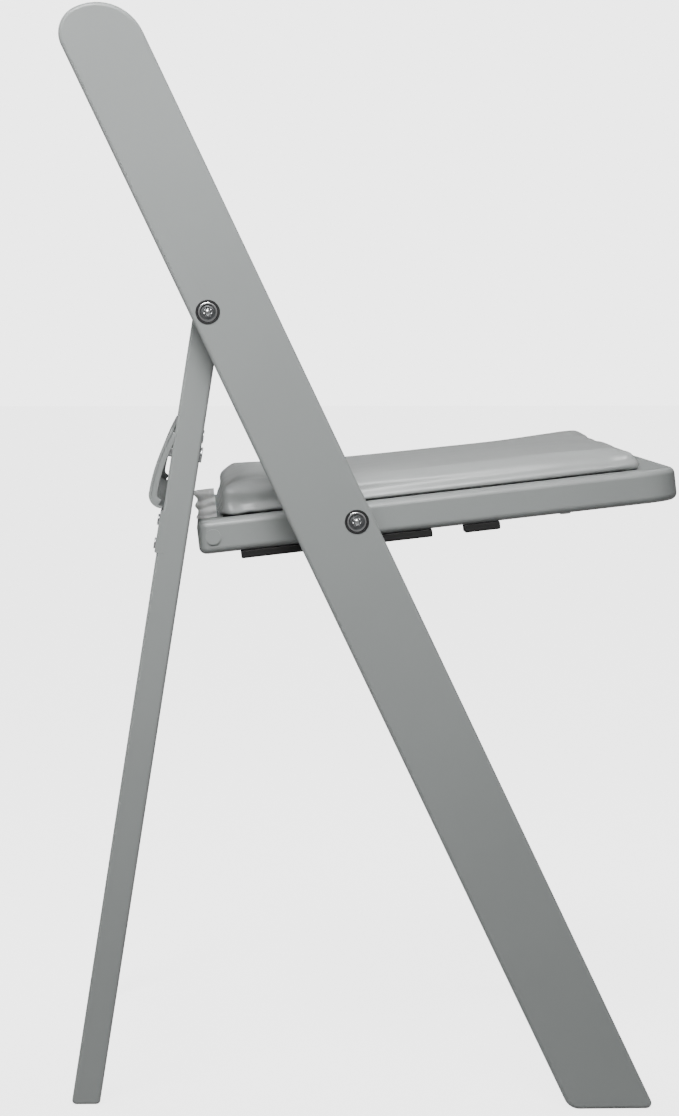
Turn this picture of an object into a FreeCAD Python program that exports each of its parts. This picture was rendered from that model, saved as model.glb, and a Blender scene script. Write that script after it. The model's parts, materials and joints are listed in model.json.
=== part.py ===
"""Folding chair with a padded seat, as a parametric document.

Frame: +Z up, the front of the chair faces -Y, +X is the sitter's left.
The origin is on the floor, at the middle of the chair's plan. Millimetres.

Two side rails lean back, and each is a back post and a front leg in one.
The rear legs hinge near the rails' rear edge, the seat near their front edge.
"""
import FreeCAD, Part
import Sketcher

import math
import os

from FreeCAD import Placement, Rotation, Vector

SIZES = {
    # overall layers across the width, from outside to inside
    "overall_width": 450.0,
    "rail_thick": 25.0,
    "leg_gap": 3.5,
    "leg_thick": 14.0,
    "seat_gap": 3.0,
    # side rails
    "rail_width": 55.5,
    "rail_length": 867.5,
    "rail_lean": 25.42,
    "rail_foot_place": -169.17,
    "crown_rear_round": 19.6,
    "crown_front_round": 35.6,
    "heel_round": 12.0,
    "toe_round": 3.8,
    "rail_edge_round": 3.0,
    # pivots, measured in the rail's own frame
    "upper_pivot_up": 637.0,
    "seat_pivot_up": 459.1,
    "pivot_offset": 15.6,
    # rear legs
    "leg_width": 20.2,
    "leg_lean": 8.94,
    "leg_end_round": 9.8,
    "leg_foot_round": 3.0,
    "leg_edge_round": 2.2,
    "guide_slot_width": 9.0,
    "guide_slot_depth": 3.0,
    "guide_slot_start": 52.0,
    "guide_slot_length": 128.0,
    # seat ring, measured from the seat pivot
    "seat_pitch": 6.42,
    "seat_above": 10.0,
    "seat_below": 14.0,
    "seat_front_reach": 236.0,
    "seat_rear_reach": 113.0,
    "seat_front_corner": 24.0,
    "seat_rear_corner": 8.0,
    "seat_edge_round": 5.0,
    "side_bar": 30.0,
    "front_bar": 42.0,
    "rear_bar": 27.0,
    "opening_corner": 12.0,
    "ledge_width": 8.0,
    "board_thick": 4.0,
    "board_play": 0.4,
    # cushion
    "cushion_front": 214.0,
    "cushion_rear": 96.5,
    "cushion_half": 160.0,
    "cushion_thick": 20.0,
    "cushion_round": 9.0,
    "cushion_lift": 0.2,
    # blank tag
    "tag_thick": 1.2,
    "tag_wide": 15.0,
    "tag_tall": 21.0,
    # runners and blocks under the seat
    "runner_depth": 6.0,
    "runner_wide": 18.0,
    "runner_inset": 2.5,
    "runner_rear": 83.6,
    "runner_length": 138.6,
    "block_front": 104.2,
    "block_length": 26.0,
    # back slats and stretchers
    "slat_thick": 14.0,
    "slat_bow": 9.0,
    "slat_round": 4.5,
    "top_slat_up": 756.0,
    "top_slat_tall": 96.0,
    "lower_slat_up": 676.0,
    "lower_slat_tall": 48.0,
    "stretcher_thick": 12.0,
    "stretcher_tall": 34.0,
    "front_stretcher_up": 150.0,
    "front_stretcher_shift": 8.0,
    "rear_stretcher_down": 400.0,
    "rear_stretcher_tall": 28.0,
    # curved panel and cross rail behind the rear legs
    "panel_sheet": 1.8,
    "panel_top": 87.0,
    "panel_top_out": 3.0,
    "panel_shoulder": 109.4,
    "panel_belly": 133.5,
    "panel_end": 142.6,
    "panel_shoulder_out": 9.4,
    "panel_belly_out": 11.8,
    "cross_rail_top": 144.0,
    "cross_rail_tall": 30.5,
    "cross_rail_thick": 6.0,
    "cross_rail_proud": 1.6,
    # fasteners
    "bolt_radius": 4.0,
    "bolt_head_radius": 7.3,
    "bolt_head_tall": 3.0,
    "bolt_socket_flats": 6.0,
    "bolt_socket_deep": 1.8,
    "ring_radius": 8.6,
    "ring_proud": 0.3,
    "bush_radius": 5.7,
    "running_gap": 0.06,
    "side_play": 0.25,
    "washer_radius": 9.0,
    "spacer_radius": 9.5,
    "nut_radius": 5.6,
    "nut_tall": 6.0,
    "dowel_radius": 4.0,
    "dowel_half": 12.0,
    "screw_radius": 2.0,
    "screw_head_radius": 4.0,
    "screw_head_tall": 2.0,
    "panel_screw_down": 101.0,
    "panel_screw_length": 24.4,
    "panel_spacer_radius": 4.5,
    "panel_spacer_tall": 4.2,
    "rail_screw_length": 14.0,
    "rail_screw_head_tall": 1.2,
    "rail_screw_high": 151.0,
    "rail_screw_low": 168.0,
    "runner_screw_length": 14.0,
    "board_screw_length": 22.0,
    "board_screw_inset": 40.0,
    "runner_screw_reach": 50.0,
    "stretcher_round": 3.0,
    "cross_rail_round": 1.2,
    "curl_round": 3.4,
    "curl_rise": 2.2,
    "panel_end_out": 0.6,
    "tag_inset": 14.0,
    "panel_screw_head_radius": 5.5,
    "panel_screw_head_tall": 1.6,
    "glide_radius": 8.0,
    "leg_glide_radius": 4.5,
    "glide_tall": 4.0,
    "rod_radius": 4.0,
    "rod_place": 102.0,
    "rod_drop": 2.0,
    "rod_cap_radius": 5.5,
    "rod_cap_tall": 1.0,
}

RIGHT, LEFT = -1, 1
SIDES = {"right": RIGHT, "left": LEFT}

NEAR = 0.05
LEAST_CUT = 0.5
CORNER_REACH = 4.0
LEAST_EDGE = 5.0
LEAST_UPRIGHT = 2.0

doc = FreeCAD.newDocument("FoldingChair")
sheet = doc.addObject("Spreadsheet::Sheet", "dims")
for row, (alias, number) in enumerate(SIZES.items(), start=1):
    sheet.set(f"A{row}", alias)
    sheet.set(f"B{row}", str(number))
    sheet.setAlias(f"B{row}", alias)
doc.recompute()

nodes = {}


def value(expression):
    """Number that an expression on the sheet's cells comes to."""
    result = sheet.evalExpression(expression)
    return float(getattr(result, "Value", result))


def size(alias):
    """Number held by one cell."""
    return value(f"dims.{alias}")


def tilt(degrees):
    """Turn about the chair's width axis."""
    return Rotation(Vector(1, 0, 0), degrees)


def keep(thing, label):
    """File an object as the finished sub-part of that name."""
    thing.Label = label
    nodes[label] = thing
    return thing


# ---------------------------------------------------------------- frames
HALF_WIDTH = "dims.overall_width / 2"
RAIL_INNER = f"({HALF_WIDTH} - dims.rail_thick)"
LEG_OUTER = f"({RAIL_INNER} - dims.leg_gap)"
LEG_INNER = f"({LEG_OUTER} - dims.leg_thick)"
SEAT_HALF = f"({LEG_INNER} - dims.seat_gap)"
PIVOT_TOP_Z = (
    "(dims.upper_pivot_up * cos(dims.rail_lean * 1deg)"
    " - dims.pivot_offset * sin(dims.rail_lean * 1deg))"
)
LEG_LENGTH = f"({PIVOT_TOP_Z} / cos(dims.leg_lean * 1deg))"

rail_frame = Placement(Vector(0, size("rail_foot_place"), 0), tilt(-size("rail_lean")))
upper_pivot = rail_frame.multVec(Vector(0, size("pivot_offset"), size("upper_pivot_up")))
seat_pivot = rail_frame.multVec(Vector(0, -size("pivot_offset"), size("seat_pivot_up")))
leg_frame = Placement(upper_pivot, tilt(size("leg_lean")))
seat_frame_place = Placement(seat_pivot, tilt(-size("seat_pitch")))


def local(frame, x, y, z, rotation=None):
    """Placement of a point in a tilted frame, turned with it."""
    return frame.multiply(Placement(Vector(x, y, z), rotation or Rotation()))


ALONG_X = Rotation(Vector(0, 1, 0), 90)
ALONG_Y = Rotation(Vector(1, 0, 0), -90)


# ---------------------------------------------------------------- sketched bodies
def new_body(label, place):
    """Empty body standing in the given frame."""
    body = doc.addObject("PartDesign::Body", label)
    body.Placement = place
    return body


def new_sketch(body, role, offset):
    """Sketch on one of the body's own planes, moved along its normal."""
    sketch = body.newObject("Sketcher::SketchObject", f"{body.Name}_sketch")
    plane = next(f for f in body.Origin.OriginFeatures if f.Role == role)
    sketch.AttachmentSupport = [(plane, "")]
    sketch.MapMode = "FlatFace"
    sketch.setExpression("AttachmentOffset.Base.z", offset)
    return sketch


def polygon(body, role, points, offset="0"):
    """Closed outline whose corners are bound to expressions."""
    sketch = new_sketch(body, role, offset)
    spots = [Vector(value(across), value(up), 0) for across, up in points]
    for index, spot in enumerate(spots):
        sketch.addGeometry(Part.LineSegment(spot, spots[(index + 1) % len(spots)]), False)
    for index in range(len(spots)):
        following = (index + 1) % len(spots)
        sketch.addConstraint(Sketcher.Constraint("Coincident", index, 2, following, 1))
    for index, (across, up) in enumerate(points):
        for kind, name, expression, number in (
            ("DistanceX", f"across{index}", across, spots[index].x),
            ("DistanceY", f"up{index}", up, spots[index].y),
        ):
            place = sketch.addConstraint(Sketcher.Constraint(kind, -1, 1, index, 1, number))
            sketch.renameConstraint(place, name)
            sketch.setExpression(f"Constraints.{name}", expression)
    return sketch


def circle(body, role, centre, radius, offset):
    """Circle whose centre and radius are bound to expressions."""
    sketch = new_sketch(body, role, offset)
    spot = Vector(value(centre[0]), value(centre[1]), 0)
    sketch.addGeometry(Part.Circle(spot, Vector(0, 0, 1), value(radius)), False)
    for kind, name, expression, number in (
        ("DistanceX", "across", centre[0], spot.x),
        ("DistanceY", "up", centre[1], spot.y),
    ):
        place = sketch.addConstraint(Sketcher.Constraint(kind, -1, 1, 0, 3, number))
        sketch.renameConstraint(place, name)
        sketch.setExpression(f"Constraints.{name}", expression)
    place = sketch.addConstraint(Sketcher.Constraint("Radius", 0, value(radius)))
    sketch.renameConstraint(place, "radius")
    sketch.setExpression("Constraints.radius", radius)
    return sketch


def pad(body, sketch, length):
    """Raise a sketch into a solid along its normal."""
    feature = body.newObject("PartDesign::Pad", f"{body.Name}_pad")
    feature.Profile = sketch
    feature.setExpression("Length", length)
    sketch.Visibility = False
    doc.recompute()
    return feature


def pocket(body, sketch, depth, forward):
    """Cut a sketch into the body, along its normal if forward, and prove that it cut."""
    before = body.Shape.Volume
    feature = body.newObject("PartDesign::Pocket", f"{body.Name}_pocket")
    feature.Profile = sketch
    feature.setExpression("Length", depth)
    feature.Reversed = forward
    doc.recompute()
    if not feature.Shape.Volume < before - LEAST_CUT:
        raise RuntimeError(f"{feature.Label} in {body.Label} cuts nothing")
    return feature


def fillet(body, wanted, radius):
    """Round the tip's edges that the test picks."""
    base = body.Tip
    names = [f"Edge{i}" for i, edge in enumerate(base.Shape.Edges, start=1) if wanted(edge)]
    if not names:
        raise RuntimeError(f"no edge to round on {body.Label}")
    feature = body.newObject("PartDesign::Fillet", f"{body.Name}_fillet")
    feature.Base = (base, names)
    feature.setExpression("Radius", radius)
    doc.recompute()
    return feature


def edge_along_x_at(across, up):
    """Test for an edge along X through that point of the body's section."""

    def wanted(edge):
        box = edge.BoundBox
        near = abs(box.Center.y - across) < NEAR and abs(box.Center.z - up) < NEAR
        return near and box.XLength > LEAST_EDGE and max(box.YLength, box.ZLength) < NEAR

    return wanted


def edge_on_side(edge):
    """Test for an edge that lies in one of the body's two side faces."""
    return edge.BoundBox.XLength < 1e-4


def side_member(label, place, outline, thick, corners, edge_round):
    """Flat bar with its own outline, rounded corners and softened edges."""
    body = new_body(label, place)
    pad(body, polygon(body, "YZ_Plane", outline), thick)
    for (across, up), radius in corners:
        fillet(body, edge_along_x_at(value(across), value(up)), radius)
    fillet(body, edge_on_side, edge_round)
    return body


def bore(body, centre, radius, start, depth, forward=True):
    """Round pocket along X, from a plane of the body."""
    return pocket(body, circle(body, "YZ_Plane", centre, radius, start), depth, forward)


# ---------------------------------------------------------------- plain solids
def cylinder(name, place, radius, height):
    """Round bar along the placement's own Z."""
    thing = doc.addObject("Part::Cylinder", name)
    thing.setExpression("Radius", radius)
    thing.setExpression("Height", height)
    thing.Placement = place
    return thing


def block(name, place, length, width, height):
    """Plain block."""
    thing = doc.addObject("Part::Box", name)
    thing.setExpression("Length", length)
    thing.setExpression("Width", width)
    thing.setExpression("Height", height)
    thing.Placement = place
    return thing


def cut(name, base, tool):
    """Base with the tool taken out of it."""
    thing = doc.addObject("Part::Cut", name)
    thing.Base = base
    thing.Tool = tool
    return thing


def fuse(name, base, tool):
    """Two solids joined as one."""
    thing = doc.addObject("Part::Fuse", name)
    thing.Base = base
    thing.Tool = tool
    return thing


def group(name, things):
    """Separate solids held as one object."""
    thing = doc.addObject("Part::Compound", name)
    thing.Links = things
    return thing


def rounded(name, base, radius, wanted):
    """Solid whose chosen edges are rounded."""
    doc.recompute()
    thing = doc.addObject("Part::Fillet", name)
    thing.Base = base
    edges = enumerate(base.Shape.Edges, start=1)
    thing.Edges = [(i, radius, radius) for i, edge in edges if wanted(edge)]
    doc.recompute()
    return thing


def screw(name, place, length, head_radius="dims.screw_head_radius", head_tall="dims.screw_head_tall"):
    """Screw whose head stands on the placement's plane and whose shank runs along its Z."""
    head_place = place.multiply(Placement(Vector(0, 0, -value(head_tall)), Rotation()))
    head = cylinder(f"{name}_head", head_place, head_radius, head_tall)
    shank = cylinder(f"{name}_shank", place, "dims.screw_radius", length)
    return fuse(name, head, shank)


def sleeve(name, place, outer, inner, height):
    """Round sleeve or washer."""
    body = cylinder(f"{name}_body", place, outer, height)
    hole = cylinder(f"{name}_hole", place, inner, height)
    return cut(name, body, hole)


# ---------------------------------------------------------------- side rails
def dowel_spots(up, tall):
    """Heights of the two dowels in the end of a slat or stretcher."""
    return [f"({up} + {tall} * 0.25)", f"({up} + {tall} * 0.75)"]


STRETCHER_UP = "(dims.front_stretcher_up - dims.stretcher_tall / 2)"
RAIL_DOWELS = (
    [("0", up) for up in dowel_spots("dims.top_slat_up", "dims.top_slat_tall")]
    + [("0", up) for up in dowel_spots("dims.lower_slat_up", "dims.lower_slat_tall")]
    + [
        ("(-dims.front_stretcher_shift)", up)
        for up in dowel_spots(STRETCHER_UP, "dims.stretcher_tall")
    ]
)
RAIL_PIVOTS = [
    ("dims.pivot_offset", "dims.upper_pivot_up"),
    ("(-dims.pivot_offset)", "dims.seat_pivot_up"),
]


def side_rail(label, side):
    """Back post and front leg in one, cut level at the floor and rounded at the crown."""
    half = "(dims.rail_width / 2)"
    slope = f"({half} * tan(dims.rail_lean * 1deg))"
    outer_x = value(HALF_WIDTH) if side == LEFT else -value(HALF_WIDTH)
    base_x = outer_x - size("rail_thick") if side == LEFT else outer_x
    outline = [
        (f"(-{half})", f"(-{slope})"),
        (f"(-{half})", "dims.rail_length"),
        (half, "dims.rail_length"),
        (half, slope),
    ]
    rounds = ["dims.toe_round", "dims.crown_front_round", "dims.crown_rear_round", "dims.heel_round"]
    body = side_member(
        f"{label}_blank",
        local(rail_frame, base_x, 0, 0),
        outline,
        "dims.rail_thick",
        list(zip(outline, rounds)),
        "dims.rail_edge_round",
    )
    outer_face, inner_face = ("dims.rail_thick", "0") if side == LEFT else ("0", "dims.rail_thick")
    inward = side == RIGHT
    for pivot in RAIL_PIVOTS:
        bore(body, pivot, "dims.bolt_radius", "0", "dims.rail_thick")
        bore(body, pivot, "dims.ring_radius", outer_face, "dims.bolt_head_tall", inward)
    for spot in RAIL_DOWELS:
        bore(body, spot, "dims.dowel_radius", inner_face, "dims.dowel_half", not inward)
    glide_x = outer_x - side * size("rail_thick") / 2
    place = Placement(Vector(glide_x, size("rail_foot_place"), 0), Rotation())
    socket = cylinder(f"{label}_glide_socket", place, "dims.glide_radius", "dims.glide_tall")
    keep(cut(label, body, socket), label)
    return cylinder(f"{label}_glide", place, "dims.glide_radius", "dims.glide_tall")


# ---------------------------------------------------------------- rear legs
LEG_STRETCHER_UP = "(-dims.rear_stretcher_down - dims.rear_stretcher_tall / 2)"
LEG_DOWELS = [("0", up) for up in dowel_spots(LEG_STRETCHER_UP, "dims.rear_stretcher_tall")]


def rear_leg(label, side):
    """Slim leg that hangs from the upper pivot and is cut level at the floor."""
    half = "(dims.leg_width / 2)"
    slope = f"({half} * tan(dims.leg_lean * 1deg))"
    base_x = value(LEG_INNER) if side == LEFT else -value(LEG_OUTER)
    outline = [
        (f"(-{half})", f"({slope} - {LEG_LENGTH})"),
        (f"(-{half})", "dims.leg_end_round"),
        (half, "dims.leg_end_round"),
        (half, f"(-{slope} - {LEG_LENGTH})"),
    ]
    rounds = ["dims.leg_foot_round", "dims.leg_end_round", "dims.leg_end_round", "dims.leg_foot_round"]
    body = side_member(
        f"{label}_blank",
        local(leg_frame, base_x, 0, 0),
        outline,
        "dims.leg_thick",
        list(zip(outline, rounds)),
        "dims.leg_edge_round",
    )
    inner_face = "0" if side == LEFT else "dims.leg_thick"
    outward = side == LEFT
    bore(body, ("0", "0"), "dims.bush_radius", "0", "dims.leg_thick")
    for spot in LEG_DOWELS:
        bore(body, spot, "dims.dowel_radius", inner_face, "(dims.dowel_half / 2)", outward)
    slot_half = "(dims.guide_slot_width / 2)"
    slot_end = "(-dims.guide_slot_start - dims.guide_slot_length)"
    slot = [
        (f"(-{slot_half})", slot_end),
        (slot_half, slot_end),
        (slot_half, "(-dims.guide_slot_start)"),
        (f"(-{slot_half})", "(-dims.guide_slot_start)"),
    ]
    pocket(body, polygon(body, "YZ_Plane", slot, inner_face), "dims.guide_slot_depth", outward)
    notch_bottom = "(-dims.cross_rail_top - dims.cross_rail_tall)"
    notch_front = "(dims.leg_width / 2 + dims.cross_rail_proud - dims.cross_rail_thick)"
    notch = [
        (notch_front, notch_bottom),
        ("dims.leg_width", notch_bottom),
        ("dims.leg_width", "(-dims.cross_rail_top)"),
        (notch_front, "(-dims.cross_rail_top)"),
    ]
    pocket(body, polygon(body, "YZ_Plane", notch), "dims.leg_thick", True)
    middle = base_x + size("leg_thick") / 2
    foot = leg_frame.multVec(Vector(0, 0, -value(LEG_LENGTH)))
    place = Placement(Vector(middle, foot.y, 0), Rotation())
    socket = cylinder(f"{label}_glide_socket", place, "dims.leg_glide_radius", "dims.glide_tall")
    keep(cut(label, body, socket), label)
    return cylinder(f"{label}_glide", place, "dims.leg_glide_radius", "dims.glide_tall")


# ---------------------------------------------------------------- slats and stretchers
def dowels(frame, spots, faces, half):
    """Dowels that cross the joint face on both sides of the chair."""
    things = []
    for side in SIDES.values():
        for across, up in spots:
            reach = value(half)
            place = local(frame, side * value(faces) - reach, value(across), value(up), ALONG_X)
            things.append(cylinder("dowel", place, "dims.dowel_radius", f"(2 * {half})"))
    return things


def bowed_slat(label, up, tall, spots):
    """Back slat, bowed backwards between the rails, with dowel holes in its ends."""
    reach = value(RAIL_INNER)
    thick = size("slat_thick")
    low = value(up)
    front = [Vector(-reach, -thick / 2, low), Vector(0, size("slat_bow") - thick / 2, low)]
    rear = [Vector(-reach, thick / 2, low), Vector(0, size("slat_bow") + thick / 2, low)]
    front.append(Vector(reach, -thick / 2, low))
    rear.append(Vector(reach, thick / 2, low))
    outline = Part.Wire([
        Part.Arc(*front).toShape(),
        Part.makeLine(front[2], rear[2]),
        Part.Arc(*reversed(rear)).toShape(),
        Part.makeLine(rear[0], front[0]),
    ])
    band = Part.Face(outline).extrude(Vector(0, 0, value(tall)))
    long_edges = [edge for edge in band.Edges if edge.BoundBox.XLength > reach]
    band = band.makeFillet(size("slat_round"), long_edges)
    for side in SIDES.values():
        for across, height in spots:
            start = Vector(side * (reach - size("dowel_half")), value(across), value(height))
            hole = Part.makeCylinder(size("dowel_radius"), 2 * size("dowel_half"), start, Vector(side, 0, 0))
            band = band.cut(hole)
    thing = doc.addObject("Part::Feature", label)
    thing.Shape = band
    thing.Placement = rail_frame
    return keep(thing, label)


def stretcher(label, frame, across, up, tall, reach, spots, half):
    """Straight cross bar with softened long edges and dowel holes in its ends."""
    place = local(frame, -value(reach), value(across) - size("stretcher_thick") / 2, value(up))
    bar = block(f"{label}_bar", place, f"(2 * {reach})", "dims.stretcher_thick", tall)
    bar = rounded(f"{label}_soft", bar, size("stretcher_round"), lambda edge: edge.Length > value(reach))
    holes = group(f"{label}_holes", dowels(frame, spots, reach, half))
    return keep(cut(label, bar, holes), label)


def back_and_stretchers():
    """Two bowed back slats, the front stretcher and the dowels that hold them."""
    bowed_slat("top_back_slat", "dims.top_slat_up", "dims.top_slat_tall", RAIL_DOWELS[0:2])
    bowed_slat("lower_back_slat", "dims.lower_slat_up", "dims.lower_slat_tall", RAIL_DOWELS[2:4])
    stretcher(
        "front_stretcher", rail_frame, "(-dims.front_stretcher_shift)", STRETCHER_UP,
        "dims.stretcher_tall", RAIL_INNER, RAIL_DOWELS[4:6], "dims.dowel_half",
    )
    stretcher(
        "rear_stretcher", leg_frame, "0", LEG_STRETCHER_UP,
        "dims.rear_stretcher_tall", LEG_INNER, LEG_DOWELS, "(dims.dowel_half / 2)",
    )
    slat_set = dowels(rail_frame, RAIL_DOWELS[0:4], RAIL_INNER, "dims.dowel_half")
    keep(group("back_slat_dowels", slat_set), "back_slat_dowels")
    front_set = dowels(rail_frame, RAIL_DOWELS[4:6], RAIL_INNER, "dims.dowel_half")
    keep(group("front_stretcher_dowels", front_set), "front_stretcher_dowels")
    rear_set = dowels(leg_frame, LEG_DOWELS, LEG_INNER, "(dims.dowel_half / 2)")
    keep(group("rear_stretcher_dowels", rear_set), "rear_stretcher_dowels")


# ---------------------------------------------------------------- rear panel
def rear_panel():
    """Thin curved panel across the backs of the rear legs, open at both ends."""
    back = size("leg_width") / 2
    sheet_thick = size("panel_sheet")

    def spot(out, down):
        return Vector(0, back + out, -down)

    top = spot(size("panel_top_out"), size("panel_top"))
    shoulder = spot(size("panel_shoulder_out"), size("panel_shoulder"))
    belly = spot(size("panel_belly_out"), size("panel_belly"))
    curl = spot(size("panel_belly_out") - size("curl_round"), size("panel_end") - size("curl_rise"))
    end = spot(size("panel_end_out"), size("panel_end"))
    spine = Part.Wire([Part.Arc(top, shoulder, belly).toShape(), Part.Arc(belly, curl, end).toShape()])
    inner = spine.makeOffset2D(-sheet_thick, 0, False, True)
    if inner.BoundBox.YMax > spine.BoundBox.YMax:
        inner = spine.makeOffset2D(sheet_thick, 0, False, True)
    inner_ends = sorted((v.Point for v in inner.Vertexes), key=lambda p: p.z)
    outer_ends = sorted((v.Point for v in spine.Vertexes), key=lambda p: p.z)
    closing = [Part.makeLine(outer_ends[i], inner_ends[i]) for i in (0, -1)]
    wire = Part.Wire(Part.__sortEdges__(spine.Edges + inner.Edges + closing))
    across = value(LEG_OUTER)
    panel = Part.Face(wire).extrude(Vector(2 * across, 0, 0))
    deep = size("panel_end") * 2
    behind = Part.makeBox(2 * across, deep, deep, Vector(0, back, -deep))
    thing = doc.addObject("Part::Feature", "rear_curved_panel")
    thing.Shape = panel.common(behind)
    thing.Placement = local(leg_frame, -across, 0, 0)
    keep(thing, "rear_curved_panel")
    shift = back + size("cross_rail_proud") - size("cross_rail_thick")
    low = -size("cross_rail_top") - size("cross_rail_tall")
    place = local(leg_frame, -across, shift, low)
    wide = f"(2 * {LEG_OUTER})"
    bar = block("cross_rail_bar", place, wide, "dims.cross_rail_thick", "dims.cross_rail_tall")
    soft = rounded("cross_rail_soft", bar, size("cross_rail_round"), lambda edge: edge.Length > across)
    keep(soft, "rear_cross_rail")
    middle = (value(LEG_OUTER) + value(LEG_INNER)) / 2
    panel_screws, panel_spacers, rail_screws = [], [], []
    for side in SIDES.values():
        front = local(leg_frame, side * middle, -back, -size("panel_screw_down"), ALONG_Y)
        panel_screws.append(screw(
            "panel_screw", front, "dims.panel_screw_length",
            "dims.panel_screw_head_radius", "dims.panel_screw_head_tall",
        ))
        stand = local(leg_frame, side * middle, back, -size("panel_screw_down"), ALONG_Y)
        panel_spacers.append(sleeve(
            "panel_spacer", stand, "dims.panel_spacer_radius", "dims.screw_radius", "dims.panel_spacer_tall",
        ))
        proud = back + size("cross_rail_proud")
        for down in ("rail_screw_high", "rail_screw_low"):
            rear = local(leg_frame, side * middle, proud, -size(down), Rotation(Vector(1, 0, 0), 90))
            rail_screws.append(screw(
                "rail_screw", rear, "dims.rail_screw_length",
                "dims.screw_head_radius", "dims.rail_screw_head_tall",
            ))
    keep(group("rear_panel_screws", panel_screws), "rear_panel_screws")
    keep(group("rear_panel_spacers", panel_spacers), "rear_panel_spacers")
    keep(group("rear_cross_rail_screws", rail_screws), "rear_cross_rail_screws")


# ---------------------------------------------------------------- pivots
def pivot_bolt(name, centre, side, length):
    """Bolt that enters from the outside, with a hexagon socket in its flush head."""
    outer = side * value(HALF_WIDTH)
    inward = Rotation(Vector(0, 1, 0), -90 * side)
    place = Placement(Vector(outer, centre.y, centre.z), inward)
    head = cylinder(f"{name}_head", place, "dims.bolt_head_radius", "dims.bolt_head_tall")
    shank = cylinder(f"{name}_shank", place, "dims.bolt_radius", length)
    whole = fuse(f"{name}_whole", head, shank)
    socket = doc.addObject("Part::Prism", f"{name}_socket")
    socket.Polygon = 6
    socket.setExpression("Circumradius", "(dims.bolt_socket_flats / sqrt(3))")
    socket.setExpression("Height", "dims.bolt_socket_deep")
    socket.Placement = place
    return cut(name, whole, socket)


def outward(centre, side, x):
    """Placement on a pivot's axis at that distance from the middle, facing outwards."""
    return Placement(Vector(side * x, centre.y, centre.z), Rotation(Vector(0, 1, 0), 90 * side))


def pivot_set(prefix, centre, outer_end, inner_start, spacer_radius):
    """Bolts, face rings, spacers and nuts of one pivot, on both sides of the chair."""
    bolts, rings, spacers, nuts = [], [], [], []
    play = size("side_play")
    for side in SIDES.values():
        nut_start = value(inner_start) - play - size("nut_tall")
        length = f"({HALF_WIDTH} - {nut_start})"
        bolts.append(pivot_bolt(f"{prefix}_bolt", centre, side, length))
        face = outward(centre, side, value(HALF_WIDTH) - size("bolt_head_tall"))
        ring_tall = "(dims.bolt_head_tall + dims.ring_proud)"
        rings.append(sleeve(
            f"{prefix}_ring", face, "dims.ring_radius", "dims.bolt_head_radius", ring_tall,
        ))
        stand = outward(centre, side, value(outer_end) + play)
        tall = f"({RAIL_INNER} - {outer_end} - dims.side_play)"
        spacers.append(sleeve(f"{prefix}_spacer", stand, spacer_radius, "dims.bolt_radius", tall))
        place = outward(centre, side, nut_start)
        nuts.append(sleeve(
            f"{prefix}_nut", place, "dims.nut_radius", "dims.bolt_radius", "dims.nut_tall",
        ))
    for name, things in (("bolts", bolts), ("rings", rings), ("spacers", spacers), ("nuts", nuts)):
        keep(group(f"{prefix}_{name}", things), f"{prefix}_{name}")


def bushes(label, centre, outer_end, length):
    """Plain bushes that turn on the pivot bolts, one a side."""
    things = []
    for side in SIDES.values():
        start = -value(outer_end) if side == RIGHT else value(outer_end) - value(length)
        place = Placement(Vector(start, centre.y, centre.z), ALONG_X)
        bore_radius = "(dims.bolt_radius + dims.running_gap)"
        things.append(sleeve(f"{label}_bush", place, "dims.bush_radius", bore_radius, length))
    keep(group(label, things), label)


# ---------------------------------------------------------------- seat
SEAT_TALL = "(dims.seat_above + dims.seat_below)"
OPENING_FRONT = "(dims.seat_front_reach - dims.front_bar)"
OPENING_REAR = "(dims.seat_rear_reach - dims.rear_bar)"
OPENING_HALF = f"({SEAT_HALF} - dims.side_bar)"


def rectangle(front, rear, half, middle="0"):
    """Corners of a plan rectangle about the seat's centre line."""
    return [
        (f"({middle} - {half})", f"(-{front})"),
        (f"({middle} + {half})", f"(-{front})"),
        (f"({middle} + {half})", rear),
        (f"({middle} - {half})", rear),
    ]


def upright_at(ys, xs):
    """Test for a straight upright edge near one of the plan corners."""

    def wanted(edge):
        box = edge.BoundBox
        near_y = any(abs(box.Center.y - y) < CORNER_REACH for y in ys)
        near_x = any(abs(box.Center.x - x) < NEAR for x in xs)
        return near_y and near_x and box.XLength < NEAR and box.ZLength > LEAST_UPRIGHT

    return wanted


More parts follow.
